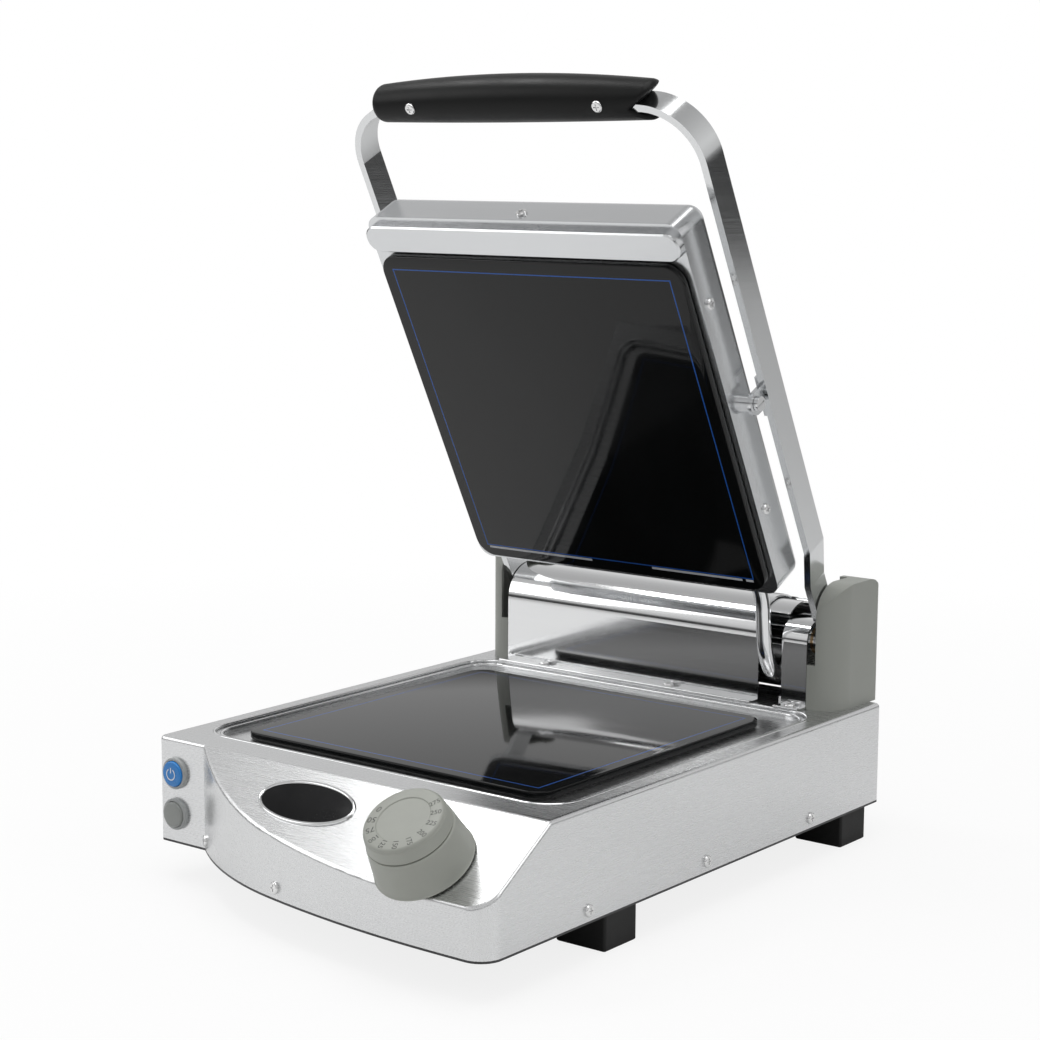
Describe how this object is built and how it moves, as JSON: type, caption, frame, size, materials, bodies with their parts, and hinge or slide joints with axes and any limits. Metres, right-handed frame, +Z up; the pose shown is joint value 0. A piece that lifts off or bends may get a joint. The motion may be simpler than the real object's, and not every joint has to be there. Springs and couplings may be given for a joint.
{
  "type": "contact grill",
  "caption": "Countertop contact grill: stainless base with a black glass plate, knob and two push buttons, and a hinged lid with a second glass plate on two arms joined by a grip.",
  "frame": {"origin": "middle of the bounding box seen from above, on the plane the feet stand on, with the lid raised", "axes": "+X to the right facing the controls, +Y to the back where the hinge is, +Z up"},
  "size_m": [0.335, 0.4868, 0.5365],
  "materials": {
    "brushed_stainless": "fine straight brush",
    "polished_stainless": "bright polish",
    "screw_steel": "turned, bright",
    "black_ceramic_glass": "gloss black with a fine printed line",
    "aluminised_tray": "mill",
    "white_fibre": "pressed mineral fibre",
    "resistance_ribbon": "heat stained",
    "grey_plastic": "fine grain",
    "black_plastic": "fine grain",
    "button_bezel_grey": "satin",
    "blue_plastic": "satin",
    "badge_black": "gloss field, bright rim",
    "black_painted_sheet": "satin black",
    "foot_rubber": "matte",
    "seal_rubber": "matte",
    "bronze": "oiled"
  },
  "bodies": {
    "base": {"casing": "brushed_stainless", "hinge_brackets": "brushed_stainless", "hinge_housing": "polished_stainless", "side_screws": "screw_steel", "apron_screws": "screw_steel", "hinge_cover_screws": "screw_steel", "bracket_screws": "screw_steel", "foot_screws": "screw_steel", "lower_glass": "black_ceramic_glass", "lower_heater_tray": "aluminised_tray", "lower_insulation": "white_fibre", "lower_heater_element": "resistance_ribbon", "hinge_cap_left": "grey_plastic", "hinge_cap_right": "grey_plastic", "button_switches": "black_plastic", "cable_gland": "black_plastic", "terminal_block": "black_plastic", "thermostat": "black_plastic", "upper_button_bezel": "button_bezel_grey", "lower_button_bezel": "button_bezel_grey", "badge_plate": "badge_black", "bottom_plate": "black_painted_sheet", "feet": "foot_rubber", "lower_glass_seal": "seal_rubber", "hinge_bushes": "bronze"},
    "lid_arms": {"arm_left": "brushed_stainless", "arm_right": "brushed_stainless", "hinge_shaft": "screw_steel", "grip_front": "black_plastic", "grip_back": "black_plastic", "grip_screws": "screw_steel", "pivot_brackets": "brushed_stainless"},
    "lid_plate": {"lid_shell": "brushed_stainless", "upper_glass": "black_ceramic_glass", "upper_glass_seal": "seal_rubber", "upper_heater_tray": "aluminised_tray", "upper_insulation": "white_fibre", "upper_heater_element": "resistance_ribbon", "bumper_bar": "brushed_stainless", "lid_screws": "screw_steel", "pivot_pins": "polished_stainless", "conduit": "polished_stainless", "conduit_grommet": "polished_stainless"},
    "knob": {"knob_skirt": "grey_plastic", "knob_cap": "grey_plastic", "thermostat_spindle": "screw_steel"},
    "upper_button": {"upper_button": "blue_plastic"},
    "lower_button": {"lower_button": "grey_plastic"}
  },
  "joints": [
    {"name": "lid_hinge", "type": "hinge", "parent": "base", "child": "lid_arms", "pos_m": [0, 0.20476, 0.1425], "axis": [1, 0, 0], "range_deg": [0, 62.8]},
    {"name": "plate_tilt", "type": "hinge", "parent": "lid_arms", "child": "lid_plate", "pos_m": [0, 0.09329, 0.32155], "axis": [1, 0, 0], "range_deg": [-1, 1]},
    {"name": "knob_turn", "type": "hinge", "parent": "base", "child": "knob", "pos_m": [0.104, -0.20199, 0.07065], "axis": [0, -0.5446, 0.8387], "range_deg": [-270, 0]},
    {"name": "upper_button_press", "type": "slide", "parent": "base", "child": "upper_button", "axis": [0, 1, 0], "range_m": [0, 0.0025], "stiffness_N_per_m": 600, "springref_m": -0.001},
    {"name": "lower_button_press", "type": "slide", "parent": "base", "child": "lower_button", "axis": [0, 1, 0], "range_m": [0, 0.0025], "stiffness_N_per_m": 600, "springref_m": -0.001}
  ]
}
